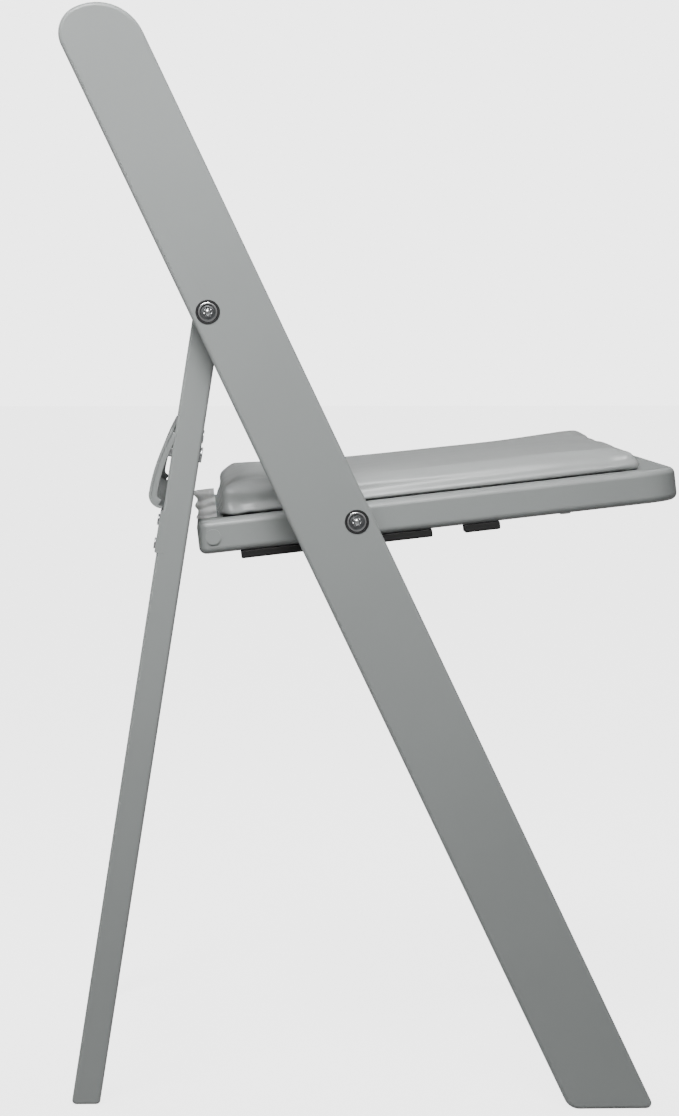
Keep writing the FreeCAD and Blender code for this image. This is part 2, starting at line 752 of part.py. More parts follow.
def seat_ring():
    """Moulded ring of the seat, with a ledge that takes the board."""
    body = new_body("seat_frame", local(seat_frame_place, -value(SEAT_HALF), 0, 0))
    outline = [
        ("(-dims.seat_front_reach)", "(-dims.seat_below)"),
        ("(-dims.seat_front_reach)", "dims.seat_above"),
        ("dims.seat_rear_reach", "dims.seat_above"),
        ("dims.seat_rear_reach", "(-dims.seat_below)"),
    ]
    width = f"(2 * {SEAT_HALF})"
    pad(body, polygon(body, "YZ_Plane", outline), width)
    sides = [0, value(width)]
    fillet(body, upright_at([-size("seat_front_reach")], sides), "dims.seat_front_corner")
    fillet(body, upright_at([size("seat_rear_reach")], sides), "dims.seat_rear_corner")

    def outer_rim(edge):
        box = edge.BoundBox
        top = abs(box.ZMin - size("seat_above")) < 1e-3
        bottom = abs(box.ZMax + size("seat_below")) < 1e-3
        return box.ZLength < 1e-3 and (top or bottom)

    fillet(body, outer_rim, "dims.seat_edge_round")
    opening = rectangle(OPENING_FRONT, OPENING_REAR, OPENING_HALF, SEAT_HALF)
    cut_through = polygon(body, "XY_Plane", opening, "dims.seat_above")
    pocket(body, cut_through, f"({SEAT_TALL} + 1)", False)
    inner_x = [value(SEAT_HALF) - value(OPENING_HALF), value(SEAT_HALF) + value(OPENING_HALF)]
    inner_y = [-value(OPENING_FRONT), value(OPENING_REAR)]
    fillet(body, upright_at(inner_y, inner_x), "dims.opening_corner")
    ledge = rectangle(
        f"({OPENING_FRONT} + dims.ledge_width)", f"({OPENING_REAR} + dims.ledge_width)",
        f"({OPENING_HALF} + dims.ledge_width)", SEAT_HALF,
    )
    pocket(body, polygon(body, "XY_Plane", ledge, "dims.seat_above"), "dims.board_thick", False)
    bore(body, ("0", "0"), "dims.bush_radius", "0", width)
    bore(body, ("dims.rod_place", "(-dims.rod_drop)"), "dims.rod_radius", "0", width)
    keep(body, "seat_frame")


def seat_board():
    """Thin board that lies in the ring's ledge and carries the cushion."""
    body = new_body("seat_base_board", seat_frame_place)
    grow = "(dims.ledge_width - dims.board_play)"
    outline = rectangle(
        f"({OPENING_FRONT} + {grow})", f"({OPENING_REAR} + {grow})", f"({OPENING_HALF} + {grow})",
    )
    level = "(dims.seat_above - dims.board_thick)"
    pad(body, polygon(body, "XY_Plane", outline, level), "dims.board_thick")
    keep(body, "seat_base_board")


def cushion():
    """Plain closed solid with the cushion's real size."""
    half = size("cushion_half")
    level = size("seat_above") + size("cushion_lift")
    place = local(seat_frame_place, -half, -size("cushion_front"), level)
    length = "(dims.cushion_front + dims.cushion_rear)"
    solid = block("cushion_block", place, "(2 * dims.cushion_half)", length, "dims.cushion_thick")
    doc.recompute()
    soft = rounded("seat_cushion", solid, size("cushion_round"), lambda edge: True)
    keep(soft, "seat_cushion")
    tag_y = size("cushion_rear") + size("tag_thick")
    tag_place = local(seat_frame_place, size("tag_inset") - half, tag_y, level)
    tag = block("blank_tag", tag_place, "dims.tag_thick", "dims.tag_wide", "dims.tag_tall")
    keep(tag, "blank_tag")


def under_seat():
    """Black runners and short blocks under the side bars, with their screws."""
    runners, blocks, screws, board_screws = [], [], [], []
    low = -size("seat_below") - size("runner_depth")
    for side in SIDES.values():
        outer = side * (value(SEAT_HALF) - size("runner_inset"))
        start = outer - size("runner_wide") if side == LEFT else outer
        middle = start + size("runner_wide") / 2
        place = local(seat_frame_place, start, size("runner_rear") - size("runner_length"), low)
        runners.append(block("runner", place, "dims.runner_wide", "dims.runner_length", "dims.runner_depth"))
        place = local(seat_frame_place, start, -size("block_front"), low)
        blocks.append(
            block("stop_block", place, "dims.runner_wide", "dims.block_length", "dims.runner_depth")
        )
        runner_middle = size("runner_rear") - size("runner_length") / 2
        block_middle = -size("block_front") + size("block_length") / 2
        reach = size("runner_screw_reach")
        for across in (runner_middle - reach, runner_middle + reach, block_middle):
            place = local(seat_frame_place, middle, across, low + size("screw_head_tall"))
            screws.append(screw("runner_screw", place, "dims.runner_screw_length"))
        inset = size("board_screw_inset")
        for across in (inset - value(OPENING_FRONT), value(OPENING_REAR) - inset):
            ledge = side * (value(OPENING_HALF) + size("ledge_width") / 2)
            place = local(seat_frame_place, ledge, across, -size("seat_below"))
            board_screws.append(screw("board_screw", place, "dims.board_screw_length"))
    keep(group("seat_runners", runners), "seat_runners")
    keep(group("seat_blocks", blocks), "seat_blocks")
    keep(group("runner_screws", screws), "runner_screws")
    keep(group("board_screws", board_screws), "board_screws")


def rear_rod():
    """Steel rod through the seat's rear bar, capped just short of the rear legs."""
    reach = value(SEAT_HALF)
    place = local(seat_frame_place, -reach, size("rod_place"), -size("rod_drop"), ALONG_X)
    keep(cylinder("seat_rear_rod", place, "dims.rod_radius", f"(2 * {SEAT_HALF})"), "seat_rear_rod")
    caps = []
    for side in SIDES.values():
        turn = Rotation(Vector(0, 1, 0), 90 * side)
        place = local(seat_frame_place, side * reach, size("rod_place"), -size("rod_drop"), turn)
        caps.append(cylinder("rod_cap", place, "dims.rod_cap_radius", "dims.rod_cap_tall"))
    keep(group("rod_end_caps", caps), "rod_end_caps")


def seat_pivot_bushes():
    """Bushes in the seat's side bars."""
    bushes("seat_pivot_bushes", seat_pivot, SEAT_HALF, "dims.side_bar")


# ---------------------------------------------------------------- assembly
def build():
    """Make every sub-part."""
    front_glides = [side_rail(f"{name}_side_rail", side) for name, side in SIDES.items()]
    keep(group("front_foot_glides", front_glides), "front_foot_glides")
    rear_glides = [rear_leg(f"{name}_rear_leg", side) for name, side in SIDES.items()]
    keep(group("rear_foot_glides", rear_glides), "rear_foot_glides")
    back_and_stretchers()
    rear_panel()
    pivot_set("upper_pivot", upper_pivot, LEG_OUTER, LEG_INNER, "dims.washer_radius")
    bushes("rear_leg_bushes", upper_pivot, LEG_OUTER, "dims.leg_thick")
    pivot_set("seat_pivot", seat_pivot, SEAT_HALF, OPENING_HALF, "dims.spacer_radius")
    seat_pivot_bushes()
    seat_ring()
    seat_board()
    cushion()
    under_seat()
    rear_rod()


def write():
    """Check every object, then write one file for each sub-part."""
    doc.recompute()
    for thing in doc.Objects:
        if "Invalid" in thing.State or "Error" in thing.State:
            raise RuntimeError(f"{thing.Label} failed: {thing.State}")
    for label, thing in nodes.items():
        if thing.Shape.isNull() or not thing.Shape.isValid():
            raise RuntimeError(f"{label} has no valid shape")
    os.makedirs("parts", exist_ok=True)
    for label, thing in nodes.items():
        thing.Shape.exportStep(f"parts/{label}.step")
        box = thing.Shape.BoundBox
        print(f"{label:26s} {len(thing.Shape.Solids)} solids  {thing.Shape.Volume / 1000:8.2f} cm3"
              f"  y {box.YMin:7.1f} {box.YMax:7.1f}  z {box.ZMin:6.1f} {box.ZMax:6.1f}")
    print(f"upper pivot y {upper_pivot.y:.3f} z {upper_pivot.z:.3f}")
    print(f"seat pivot y {seat_pivot.y:.3f} z {seat_pivot.z:.3f}")


build()
write()
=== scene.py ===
"""Looks of a folding chair with a padded seat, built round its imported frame.

Lengths are in metres, +Z is up, the sitter faces -Y and +X is the sitter's left.
"""

import json
import logging
import math
from collections.abc import Callable
from dataclasses import dataclass, field
from enum import Enum

import bpy
from mathutils import Matrix, Vector, noise


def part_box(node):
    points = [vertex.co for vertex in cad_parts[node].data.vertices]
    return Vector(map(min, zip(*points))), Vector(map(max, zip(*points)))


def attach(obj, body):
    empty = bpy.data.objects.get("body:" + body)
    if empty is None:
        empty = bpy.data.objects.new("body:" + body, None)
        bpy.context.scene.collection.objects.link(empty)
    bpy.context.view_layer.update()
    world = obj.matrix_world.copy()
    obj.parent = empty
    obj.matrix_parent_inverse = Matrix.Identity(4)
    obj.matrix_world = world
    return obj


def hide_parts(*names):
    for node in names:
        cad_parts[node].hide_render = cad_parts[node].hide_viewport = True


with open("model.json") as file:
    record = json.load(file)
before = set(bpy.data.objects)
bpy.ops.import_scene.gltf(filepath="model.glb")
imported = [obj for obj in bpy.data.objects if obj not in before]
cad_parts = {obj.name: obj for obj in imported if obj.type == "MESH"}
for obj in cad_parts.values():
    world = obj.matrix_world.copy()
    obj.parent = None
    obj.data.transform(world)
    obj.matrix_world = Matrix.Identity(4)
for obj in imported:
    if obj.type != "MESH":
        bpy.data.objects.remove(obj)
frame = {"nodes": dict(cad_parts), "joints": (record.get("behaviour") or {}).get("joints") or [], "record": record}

LOG = logging.getLogger("folding_chair")
LEG_TILT = 8.94  # degrees about +X, of the rear legs' frame
SEAT_TILT = -6.42  # degrees about +X, of the seat's frame


class Slot(Enum):
    """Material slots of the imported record."""

    RESIN = "grey_resin"
    SHEET = "painted_sheet"
    VINYL = "grey_vinyl"
    STEEL = "bright_steel"
    BLACK = "black_plastic"
    RUBBER = "black_rubber"
    PLY = "birch_ply"
    BOARD = "black_board"
    FILM = "white_film"


class Side(Enum):
    """Sides of the chair, as the sign of X."""

    RIGHT = -1
    LEFT = 1


# ---------------------------------------------------------------- operators
def deselect() -> None:
    """Leave edit mode and clear the selection."""
    if bpy.context.mode != "OBJECT":
        bpy.ops.object.mode_set(mode="OBJECT")
    bpy.ops.object.select_all(action="DESELECT")


def choose(piece: bpy.types.Object) -> None:
    """Make one object the only selected and active one."""
    deselect()
    piece.select_set(True)
    bpy.context.view_layer.objects.active = piece


def edit(piece: bpy.types.Object, mode: str = "FACE") -> None:
    """Open edit mode on one object with nothing selected in it."""
    choose(piece)
    bpy.ops.object.mode_set(mode="EDIT")
    bpy.ops.mesh.select_mode(type=mode)
    bpy.ops.mesh.select_all(action="DESELECT")


def pick_faces(piece: bpy.types.Object, wanted: Callable[[bpy.types.MeshPolygon], bool]) -> int:
    """Select the faces that a test picks, and stay in edit mode.

    Args:
        piece: object to edit.
        wanted: function of one polygon that returns True to select it.

    Returns:
        How many faces were picked.
    """
    edit(piece)
    bpy.ops.object.mode_set(mode="OBJECT")
    count = 0
    for face in piece.data.polygons:
        face.select = wanted(face)
        count += face.select
    bpy.ops.object.mode_set(mode="EDIT")
    return count


def apply_all(piece: bpy.types.Object) -> None:
    """Apply every modifier of a piece."""
    choose(piece)
    for modifier in list(piece.modifiers):
        bpy.ops.object.modifier_apply(modifier=modifier.name)


def soften(piece: bpy.types.Object, width: float, segments: int, degrees: float = 30.0) -> None:
    """Round a piece's sharp edges and apply its modifiers.

    Args:
        piece: object to change.
        width: width of the rounding.
        segments: steps across it.
        degrees: edges sharper than this are rounded.
    """
    bevel = piece.modifiers.new("edge", "BEVEL")
    bevel.width = width
    bevel.segments = segments
    bevel.limit_method = "ANGLE"
    bevel.angle_limit = math.radians(degrees)
    apply_all(piece)


def settle(piece: bpy.types.Object) -> None:
    """Move a piece's place, turn and scale into its mesh."""
    choose(piece)
    bpy.ops.object.transform_apply(location=True, rotation=True, scale=True)


def smooth(piece: bpy.types.Object, degrees: float = 35.0) -> None:
    """Shade smooth across edges flatter than an angle."""
    choose(piece)
    bpy.ops.object.shade_smooth_by_angle(angle=math.radians(degrees))


def join(pieces: list[bpy.types.Object], name: str) -> bpy.types.Object:
    """Join several objects into one.

    Args:
        pieces: objects to join.
        name: name of the result.

    Returns:
        The joined object.
    """
    choose(pieces[0])
    for piece in pieces:
        piece.select_set(True)
    bpy.ops.object.join()
    result = bpy.context.view_layer.objects.active
    result.name = name
    return result


# ---------------------------------------------------------------- node helpers
@dataclass
class Shader:
    """A material or group under construction, with short ways to add and link nodes."""

    tree: bpy.types.NodeTree

    def add(self, kind: str, **values: object) -> bpy.types.Node:
        """Add a node.

        Args:
            kind: Blender's node type.
            values: node properties, or socket values where the name has a capital.

        Returns:
            The new node.
        """
        node = self.tree.nodes.new(kind)
        for name, setting in values.items():
            if name[0].isupper():
                node.inputs[name.replace("_", " ")].default_value = setting
            else:
                setattr(node, name, setting)
        return node

    def link(self, source: bpy.types.NodeSocket, target: bpy.types.NodeSocket) -> None:
        """Join two sockets."""
        self.tree.links.new(source, target)

    def maths(
        self, operation: str, first: float | bpy.types.NodeSocket, second: float | bpy.types.NodeSocket
    ) -> bpy.types.NodeSocket:
        """Add a Math node.

        Args:
            operation: the Math node's operation.
            first: number or socket.
            second: number or socket.

        Returns:
            The node's output socket.
        """
        node = self.add("ShaderNodeMath", operation=operation)
        for index, given in enumerate((first, second)):
            if isinstance(given, bpy.types.NodeSocket):
                self.link(given, node.inputs[index])
            else:
                node.inputs[index].default_value = given
        return node.outputs[0]


def new_group(name: str, inputs: dict[str, float], outputs: list[str]) -> tuple[Shader, dict, dict]:
    """Start a shader node group.

    Args:
        name: the group's name.
        inputs: float inputs and their first values.
        outputs: names of the float outputs.

    Returns:
        The shader helper, the input sockets and the output sockets by name.
    """
    tree = bpy.data.node_groups.new(name, "ShaderNodeTree")
    for label, number in inputs.items():
        socket = tree.interface.new_socket(label, in_out="INPUT", socket_type="NodeSocketFloat")
        socket.default_value = number
    for label in outputs:
        tree.interface.new_socket(label, in_out="OUTPUT", socket_type="NodeSocketFloat")
    shader = Shader(tree)
    entry = shader.add("NodeGroupInput")
    leave = shader.add("NodeGroupOutput")
    return shader, {s.name: s for s in entry.outputs}, {s.name: s for s in leave.inputs}


def new_material(name: str) -> tuple[bpy.types.Material, Shader, bpy.types.Node]:
    """Start a material.

    Args:
        name: the material's name.

    Returns:
        The material, its shader helper and its Principled node.
    """
    material = bpy.data.materials.new(name)
    material.use_nodes = True
    return material, Shader(material.node_tree), material.node_tree.nodes["Principled BSDF"]


def moulded_group() -> bpy.types.NodeTree:
    """Moulded skin: slow cloudiness, fine grain and faint handling marks."""
    shader, given, out = new_group(
        "moulded_skin", {"Grain Scale": 900.0, "Cloud Scale": 9.0}, ["Cloud", "Grain", "Scuff"]
    )
    place = shader.add("ShaderNodeTexCoord")
    cloud = shader.add("ShaderNodeTexNoise", Detail=3.0, Roughness=0.5)
    grain = shader.add("ShaderNodeTexNoise", Detail=2.0, Roughness=0.6)
    scuff = shader.add("ShaderNodeTexNoise", Scale=46.0, Detail=6.0, Roughness=0.72, Distortion=1.2)
    for node in (cloud, grain, scuff):
        shader.link(place.outputs["Object"], node.inputs["Vector"])
    shader.link(given["Cloud Scale"], cloud.inputs["Scale"])
    shader.link(given["Grain Scale"], grain.inputs["Scale"])
    shader.link(cloud.outputs["Fac"], out["Cloud"])
    shader.link(grain.outputs["Fac"], out["Grain"])
    worn = shader.maths("SUBTRACT", scuff.outputs["Fac"], 0.58)
    worn = shader.maths("MULTIPLY", worn, 5.0)
    worn = shader.maths("MAXIMUM", worn, 0.0)
    shader.link(shader.maths("MINIMUM", worn, 1.0), out["Scuff"])
    return shader.tree


def hide_group() -> bpy.types.NodeTree:
    """Embossed vinyl: fine pebbles and soft unevenness."""
    shader, given, out = new_group("embossed_hide", {"Pebble Scale": 1100.0}, ["Pebble", "Cloud"])
    place = shader.add("ShaderNodeTexCoord")
    pebble = shader.add("ShaderNodeTexVoronoi", feature="SMOOTH_F1", Smoothness=0.6)
    cloud = shader.add("ShaderNodeTexNoise", Scale=22.0, Detail=4.0, Roughness=0.55)
    for node in (pebble, cloud):
        shader.link(place.outputs["Object"], node.inputs["Vector"])
    shader.link(given["Pebble Scale"], pebble.inputs["Scale"])
    shader.link(pebble.outputs["Distance"], out["Pebble"])
    shader.link(cloud.outputs["Fac"], out["Cloud"])
    return shader.tree


class Groups:
    """Shared node groups, each made once."""

    def __init__(self) -> None:
        """Build the groups."""
        self.moulded = moulded_group()
        self.hide = hide_group()


def spread(colour: tuple[float, float, float], share: float) -> tuple[float, float, float, float]:
    """Colour made lighter or darker by a share, with alpha 1."""
    return tuple(min(1.0, part * (1.0 + share)) for part in colour) + (1.0,)


@dataclass(frozen=True)
class Finish:
    """A moulded, painted or plated finish with slow colour change and fine grain."""

    name: str
    colour: tuple[float, float, float]
    shift: float = 0.05
    rough: tuple[float, float] = (0.42, 0.52)
    grain_scale: float = 900.0
    cloud_scale: float = 9.0
    bump: float = 0.06
    bump_depth: float = 0.0004
    metallic: float = 0.0
    coat: float = 0.0
    coat_rough: float = 0.3
    scuff: float = 0.25
    specular: float = 0.5

    def make(self, groups: Groups) -> bpy.types.Material:
        """Build the material.

        Args:
            groups: the shared node groups.

        Returns:
            The new material.
        """
        material, shader, surface = new_material(self.name)
        skin = shader.add("ShaderNodeGroup", node_tree=groups.moulded)
        skin.inputs["Grain Scale"].default_value = self.grain_scale
        skin.inputs["Cloud Scale"].default_value = self.cloud_scale
        tint = shader.add("ShaderNodeMix", data_type="RGBA")
        tint.inputs["A"].default_value = spread(self.colour, -self.shift)
        tint.inputs["B"].default_value = spread(self.colour, self.shift)
        shader.link(skin.outputs["Cloud"], tint.inputs["Factor"])
        shader.link(tint.outputs["Result"], surface.inputs["Base Color"])
        rough = shader.add("ShaderNodeMapRange")
        rough.inputs["To Min"].default_value = self.rough[0]
        rough.inputs["To Max"].default_value = self.rough[1]
        wear = shader.maths("MULTIPLY", skin.outputs["Scuff"], self.scuff)
        shader.link(shader.maths("ADD", skin.outputs["Cloud"], wear), rough.inputs["Value"])
        shader.link(rough.outputs["Result"], surface.inputs["Roughness"])
        bump = shader.add("ShaderNodeBump", Strength=self.bump, Distance=self.bump_depth)
        shader.link(skin.outputs["Grain"], bump.inputs["Height"])
        shader.link(bump.outputs["Normal"], surface.inputs["Normal"])
        surface.inputs["Metallic"].default_value = self.metallic
        surface.inputs["Coat Weight"].default_value = self.coat
        surface.inputs["Coat Roughness"].default_value = self.coat_rough
        surface.inputs["Specular IOR Level"].default_value = self.specular
        return material


@dataclass(frozen=True)
class VinylFinish:
    """Soft embossed vinyl of the cushion."""

    name: str = "soft_grey_vinyl"
    colour: tuple[float, float, float] = (0.345, 0.36, 0.357)
    pebble_scale: float = 1100.0
    rough: tuple[float, float] = (0.27, 0.40)
    shift: float = 0.06
    bump: float = 0.10
    bump_depth: float = 0.0003
    sheen: float = 0.12
    sheen_rough: float = 0.4
    coat: float = 0.25
    coat_rough: float = 0.35

    def make(self, groups: Groups) -> bpy.types.Material:
        """Build the material.

        Args:
            groups: the shared node groups.

        Returns:
            The new material.
        """
        material, shader, surface = new_material(self.name)
        hide = shader.add("ShaderNodeGroup", node_tree=groups.hide)
        hide.inputs["Pebble Scale"].default_value = self.pebble_scale
        tint = shader.add("ShaderNodeMix", data_type="RGBA")
        tint.inputs["A"].default_value = spread(self.colour, -self.shift)
        tint.inputs["B"].default_value = spread(self.colour, self.shift)
        shader.link(hide.outputs["Cloud"], tint.inputs["Factor"])
        shader.link(tint.outputs["Result"], surface.inputs["Base Color"])
        rough = shader.add("ShaderNodeMapRange")
        rough.inputs["To Min"].default_value = self.rough[0]
        rough.inputs["To Max"].default_value = self.rough[1]
        shader.link(hide.outputs["Cloud"], rough.inputs["Value"])
        shader.link(rough.outputs["Result"], surface.inputs["Roughness"])
        bump = shader.add("ShaderNodeBump", Strength=self.bump, Distance=self.bump_depth)
        shader.link(hide.outputs["Pebble"], bump.inputs["Height"])
        shader.link(bump.outputs["Normal"], surface.inputs["Normal"])
        surface.inputs["Sheen Weight"].default_value = self.sheen
        surface.inputs["Sheen Roughness"].default_value = self.sheen_rough
        surface.inputs["Coat Weight"].default_value = self.coat
        surface.inputs["Coat Roughness"].default_value = self.coat_rough
        return material


@dataclass(frozen=True)
class PlyFinish:
    """Birch plywood, with plies that show on its edges."""

    name: str = "birch_plywood"
    light: tuple[float, float, float] = (0.62, 0.45, 0.28)
    dark: tuple[float, float, float] = (0.36, 0.23, 0.12)
    stretch: tuple[float, float, float] = (60.0, 4.0, 400.0)
    bump: float = 0.2
    bump_depth: float = 0.0003
    rough: float = 0.7

    def make(self, groups: Groups) -> bpy.types.Material:
        """Build the material.

        Args:
            groups: the shared node groups, unused here, as every finish is made alike.

        Returns:
            The new material.
        """
        material, shader, surface = new_material(self.name)
        place = shader.add("ShaderNodeTexCoord")
        stretch = shader.add("ShaderNodeMapping")
        stretch.inputs["Scale"].default_value = self.stretch
        streaks = shader.add("ShaderNodeTexNoise", Scale=3.0, Detail=7.0, Roughness=0.6, Distortion=0.5)
        shader.link(place.outputs["Object"], stretch.inputs["Vector"])
        shader.link(stretch.outputs["Vector"], streaks.inputs["Vector"])
        tint = shader.add("ShaderNodeMix", data_type="RGBA")
        tint.inputs["A"].default_value = self.dark + (1.0,)
        tint.inputs["B"].default_value = self.light + (1.0,)
        shader.link(streaks.outputs["Fac"], tint.inputs["Factor"])
        shader.link(tint.outputs["Result"], surface.inputs["Base Color"])
        bump = shader.add("ShaderNodeBump", Strength=self.bump, Distance=self.bump_depth)
        shader.link(streaks.outputs["Fac"], bump.inputs["Height"])
        shader.link(bump.outputs["Normal"], surface.inputs["Normal"])
        surface.inputs["Roughness"].default_value = self.rough
        return material


class Wardrobe:
    """Every finish of the chair, by material slot."""

    def __init__(self) -> None:
        """Make the materials."""
        groups = self.groups = Groups()
        grey = (0.285, 0.302, 0.298)
        finishes = {
            Slot.RESIN: Finish("satin_grey_resin", grey, coat=0.25, coat_rough=0.22),
            Slot.SHEET: Finish("grey_paint_on_sheet", grey, rough=(0.34, 0.44), coat=0.15),
            Slot.VINYL: VinylFinish(),
            Slot.STEEL: Finish(
                "zinc_plated_steel", (0.86, 0.87, 0.88), rough=(0.14, 0.28), grain_scale=1500.0,
                cloud_scale=60.0, metallic=1.0, bump=0.04,
            ),
            Slot.BLACK: Finish("black_nylon", (0.018, 0.018, 0.019), rough=(0.4, 0.55), shift=0.15),
            Slot.RUBBER: Finish(
                "matt_black_rubber", (0.014, 0.014, 0.014), rough=(0.68, 0.85), shift=0.2,
                bump=0.25, grain_scale=1400.0, specular=0.35,
            ),
            Slot.PLY: PlyFinish(),
            # The board's near-black finish is painted shade: it stands for the dark shadow line between the
            # cushion and the seat frame.
            Slot.BOARD: PlyFinish("black_plywood_painted_shade", (0.035, 0.032, 0.030), (0.012, 0.011, 0.010)),
            Slot.FILM: Finish(
                "blank_white_film", (0.93, 0.93, 0.92), rough=(0.25, 0.4), coat=0.3, shift=0.03,
            ),
        }
        self.materials = {slot: finish.make(groups) for slot, finish in finishes.items()}

    def dress(self, piece: bpy.types.Object, slot: Slot) -> None:
        """Give a piece one finish all over."""
        piece.data.materials.clear()
        piece.data.materials.append(self.materials[slot])


# ---------------------------------------------------------------- the frame
@dataclass
class TiltedFrame:
    """A frame turned about the width axis at a pivot."""

    origin: Vector
    degrees: float

    @property
    def matrix(self) -> Matrix:
        """Matrix from this frame to the chair's frame."""
        return Matrix.Translation(self.origin) @ Matrix.Rotation(math.radians(self.degrees), 4, "X")

    def extent(self, node: str) -> tuple[Vector, Vector]:
        """Lowest and highest corner of a node in this frame.

        Args:
            node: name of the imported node.

        Returns:
            The two corners.
        """
        back = self.matrix.inverted()
        spots = [back @ vertex.co for vertex in frame["nodes"][node].data.vertices]
        low = Vector(min(s[i] for s in spots) for i in range(3))
        high = Vector(max(s[i] for s in spots) for i in range(3))
        return low, high


def joint_spot(name: str) -> Vector:
    """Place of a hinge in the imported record."""
    joint = next(j for j in frame["joints"] if j["name"] == name)
    return Vector(joint["pos_m"])


def body_of_node(node: str) -> str:
    """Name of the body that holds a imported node."""
    bodies = frame["record"]["behaviour"]["bodies"]
    return next(body for body, members in bodies.items() if node in members)


def stand_for(piece: bpy.types.Object, nodes: list[str]) -> None:
    """Let a dressed piece ride, and say which nodes it stands for.

    Args:
        piece: the finished mesh.
        nodes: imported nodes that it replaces, all on one body.
    """
    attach(piece, body_of_node(nodes[0]))
    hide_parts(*nodes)
    LOG.info("%s: %d faces", piece.name, len(piece.data.polygons))


def finish_piece(piece: bpy.types.Object, nodes: list[str], slot: Slot, wardrobe: Wardrobe) -> None:
    """Dress a piece, let it ride, and say which nodes it stands for.

    Args:
        piece: the finished mesh.
        nodes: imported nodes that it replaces, all on one body.
        slot: its material slot.
        wardrobe: the chair's finishes.
    """
    wardrobe.dress(piece, slot)
    stand_for(piece, nodes)


@dataclass
class MouldedParts:
    """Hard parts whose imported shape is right, with clean smooth-shaded surfaces."""

    wardrobe: Wardrobe
    merge: float = 0.00001
    flat: float = math.radians(0.3)
    resin: tuple[str, ...] = (
        "right_side_rail", "left_side_rail", "right_rear_leg", "left_rear_leg",
        "top_back_slat", "lower_back_slat", "front_stretcher", "rear_stretcher",
        "seat_frame", "seat_pivot_spacers", "rod_end_caps",
    )
    sheet: tuple[str, ...] = ("rear_cross_rail",)
    black: tuple[str, ...] = (
        "upper_pivot_rings", "seat_pivot_rings", "upper_pivot_spacers",
        "front_foot_glides", "rear_foot_glides", "rear_leg_bushes", "seat_pivot_bushes",
    )
    steel: tuple[str, ...] = (
        "upper_pivot_nuts", "seat_pivot_nuts", "seat_rear_rod", "rear_panel_spacers",
    )

    def refined(self, node: str) -> bpy.types.Object:
        """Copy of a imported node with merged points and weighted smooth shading.

        Args:
            node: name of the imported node.

        Returns:
            The new piece.
        """
        piece = bpy.data.objects.new(f"{node}_surface", frame["nodes"][node].data.copy())
        bpy.context.scene.collection.objects.link(piece)
        edit(piece, "VERT")
        bpy.ops.mesh.select_all(action="SELECT")
        bpy.ops.mesh.remove_doubles(threshold=self.merge)
        bpy.ops.mesh.dissolve_limited(angle_limit=self.flat)
        bpy.ops.mesh.normals_make_consistent(inside=False)
        deselect()
        smooth(piece, 32.0)
        weighted = piece.modifiers.new("weighted", "WEIGHTED_NORMAL")
        weighted.keep_sharp = True
        weighted.weight = 80
        apply_all(piece)
        return piece

    def build(self) -> None:
        """Make and dress every hard part."""
        table = ((self.resin, Slot.RESIN), (self.sheet, Slot.SHEET), (self.black, Slot.BLACK),
                 (self.steel, Slot.STEEL))
        for nodes, slot in table:
            for node in nodes:
                finish_piece(self.refined(node), [node], slot, self.wardrobe)


